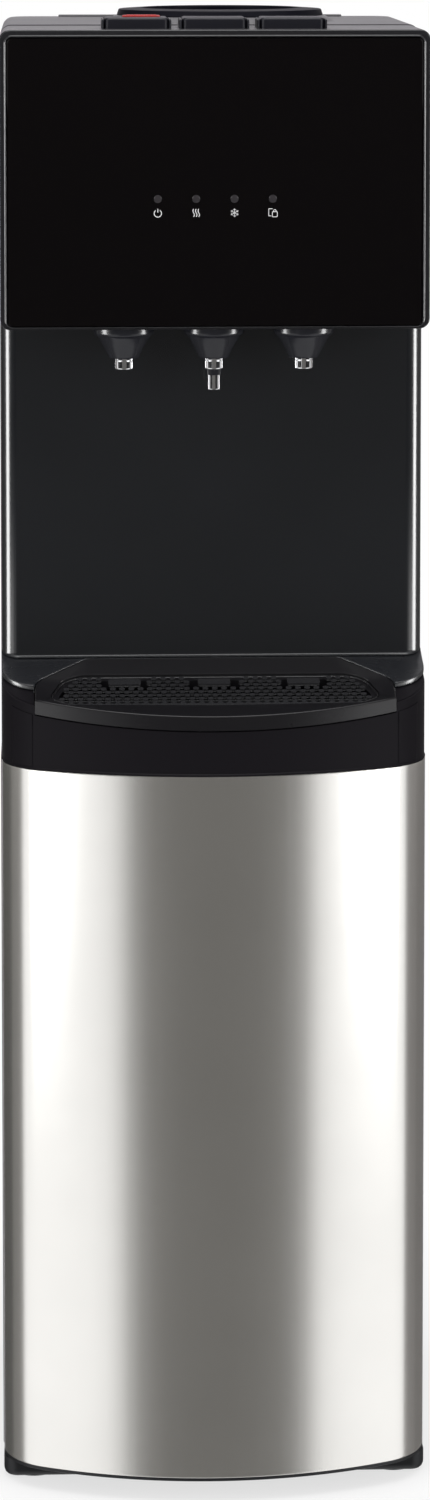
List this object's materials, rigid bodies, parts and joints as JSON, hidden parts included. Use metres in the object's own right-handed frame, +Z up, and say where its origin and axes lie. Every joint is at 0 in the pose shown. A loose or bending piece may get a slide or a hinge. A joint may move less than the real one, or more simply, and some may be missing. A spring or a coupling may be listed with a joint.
{
  "type": "water dispenser",
  "caption": "Free-standing top-loading water dispenser with three taps, a drip tray in a recess, a glossy head and a curved steel front.",
  "frame": {"origin": "under the middle of the overall box, on the floor", "axes": "+Z up, -Y towards the user, +X to the right seen from the front"},
  "size_m": [0.3052, 0.35, 1.0556],
  "materials": {
    "black_moulding": "satin moulded",
    "rubber": "matte",
    "brushed_front": "vertical soft brushed, bright",
    "side_paint": "fine textured paint",
    "back_paint": "fine textured paint",
    "zinc_steel": "zinc plated",
    "tray_black": "polished black",
    "shelf_black": "satin",
    "niche_grey": "fine satin, blue grey",
    "head_grey": "satin grey",
    "bezel_grey": "satin gloss",
    "fascia_gloss": "mirror gloss black",
    "lamp_lens": "smoked lens",
    "circuit_board": "solder mask",
    "button_black": "satin, lighter on top",
    "lock_red": "satin gloss red",
    "rod_white": "natural",
    "spring_steel": "drawn wire",
    "cone_black": "satin",
    "tip_chrome": "polished",
    "tank_steel": "drawn stainless",
    "foam_white": "bead foam",
    "copper": "drawn copper",
    "mica_band": "heater band",
    "ceramic": "unglazed",
    "silicone": "milky",
    "drain_grey": "satin",
    "compressor_black": "gloss enamel",
    "condenser_black": "satin enamel",
    "box_white": "flame resistant moulding",
    "rocker_red": "gloss",
    "rocker_green": "gloss"
  },
  "bodies": {
    "cabinet": {"base_plate": "black_moulding", "foot_pads": "rubber", "floor_strip": "black_moulding", "steel_front_panel": "brushed_front", "side_panel_left": "side_paint", "side_panel_right": "side_paint", "rear_panel": "back_paint", "rear_screws": "zinc_steel", "tray_housing": "tray_black", "shelf_surround": "shelf_black", "niche_panel": "niche_grey", "head_shell": "head_grey", "head_bezel": "bezel_grey", "fascia_panel": "fascia_gloss", "indicator_lenses": "lamp_lens", "indicator_board": "circuit_board", "top_cover": "head_grey", "button_guide": "black_moulding", "spring_hot": "spring_steel", "spring_normal": "spring_steel", "spring_cold": "spring_steel", "tap_valves": "rod_white", "tap_cones": "cone_black", "tap_tips": "tip_chrome", "middle_spout": "tip_chrome", "cold_tank": "tank_steel", "cold_tank_baffle": "rod_white", "evaporator_coil": "copper", "cold_tank_foam": "foam_white", "tank_shelf": "zinc_steel", "hot_tank": "tank_steel", "hot_tank_bracket": "zinc_steel", "heater_band": "mica_band", "thermostats": "ceramic", "water_hoses": "silicone", "drain_pipe": "drain_grey", "compressor": "compressor_black", "compressor_mounts": "rubber", "refrigerant_pipes": "copper", "filter_drier": "copper", "condenser": "condenser_black", "condenser_brackets": "condenser_black", "control_box": "box_white", "switch_frame": "black_moulding", "cord_gland": "black_moulding"},
    "hot_button": {"button_hot": "button_black", "push_rod_hot": "rod_white"},
    "normal_button": {"button_normal": "button_black", "push_rod_normal": "rod_white"},
    "cold_button": {"button_cold": "button_black", "push_rod_cold": "rod_white"},
    "child_lock": {"child_lock_slider": "lock_red"},
    "tray": {"drip_tray": "tray_black"},
    "grid": {"drip_grid": "black_moulding"},
    "seat": {"bottle_seat": "black_moulding"},
    "hot_switch": {"hot_switch_rocker": "rocker_red"},
    "cold_switch": {"cold_switch_rocker": "rocker_green"},
    "drain": {"drain_plug": "silicone"}
  },
  "joints": [
    {"name": "hot_button_press", "type": "slide", "parent": "cabinet", "child": "hot_button", "axis": [0, 0, -1], "range_m": [0, 0.005], "stiffness_N_per_m": 400, "springref_m": -0.002, "deforming": ["spring_hot"]},
    {"name": "normal_button_press", "type": "slide", "parent": "cabinet", "child": "normal_button", "axis": [0, 0, -1], "range_m": [0, 0.005], "stiffness_N_per_m": 400, "springref_m": -0.002, "deforming": ["spring_normal"]},
    {"name": "cold_button_press", "type": "slide", "parent": "cabinet", "child": "cold_button", "axis": [0, 0, -1], "range_m": [0, 0.005], "stiffness_N_per_m": 400, "springref_m": -0.002, "deforming": ["spring_cold"]},
    {"name": "child_lock_slide", "type": "slide", "parent": "hot_button", "child": "child_lock", "axis": [0, -1, 0], "range_m": [0, 0.004], "stiffness_N_per_m": 40, "springref_m": -0.001},
    {"name": "tray_lift", "type": "slide", "parent": "cabinet", "child": "tray", "axis": [0, 0, 1], "range_m": [0, 0.06]},
    {"name": "grid_lift", "type": "slide", "parent": "tray", "child": "grid", "axis": [0, 0, 1], "range_m": [0, 0.06]},
    {"name": "seat_lift", "type": "slide", "parent": "cabinet", "child": "seat", "axis": [0, 0, 1], "range_m": [0, 0.09]},
    {"name": "hot_switch_rock", "type": "hinge", "parent": "cabinet", "child": "hot_switch", "pos_m": [-0.017, 0.146, 0.7885], "axis": [1, 0, 0], "range_deg": [-18, 0]},
    {"name": "cold_switch_rock", "type": "hinge", "parent": "cabinet", "child": "cold_switch", "pos_m": [0.017, 0.146, 0.7885], "axis": [1, 0, 0], "range_deg": [-18, 0]},
    {"name": "drain_plug_pull", "type": "slide", "parent": "cabinet", "child": "drain", "axis": [0, 1, 0], "range_m": [0, 0.025]}
  ]
}
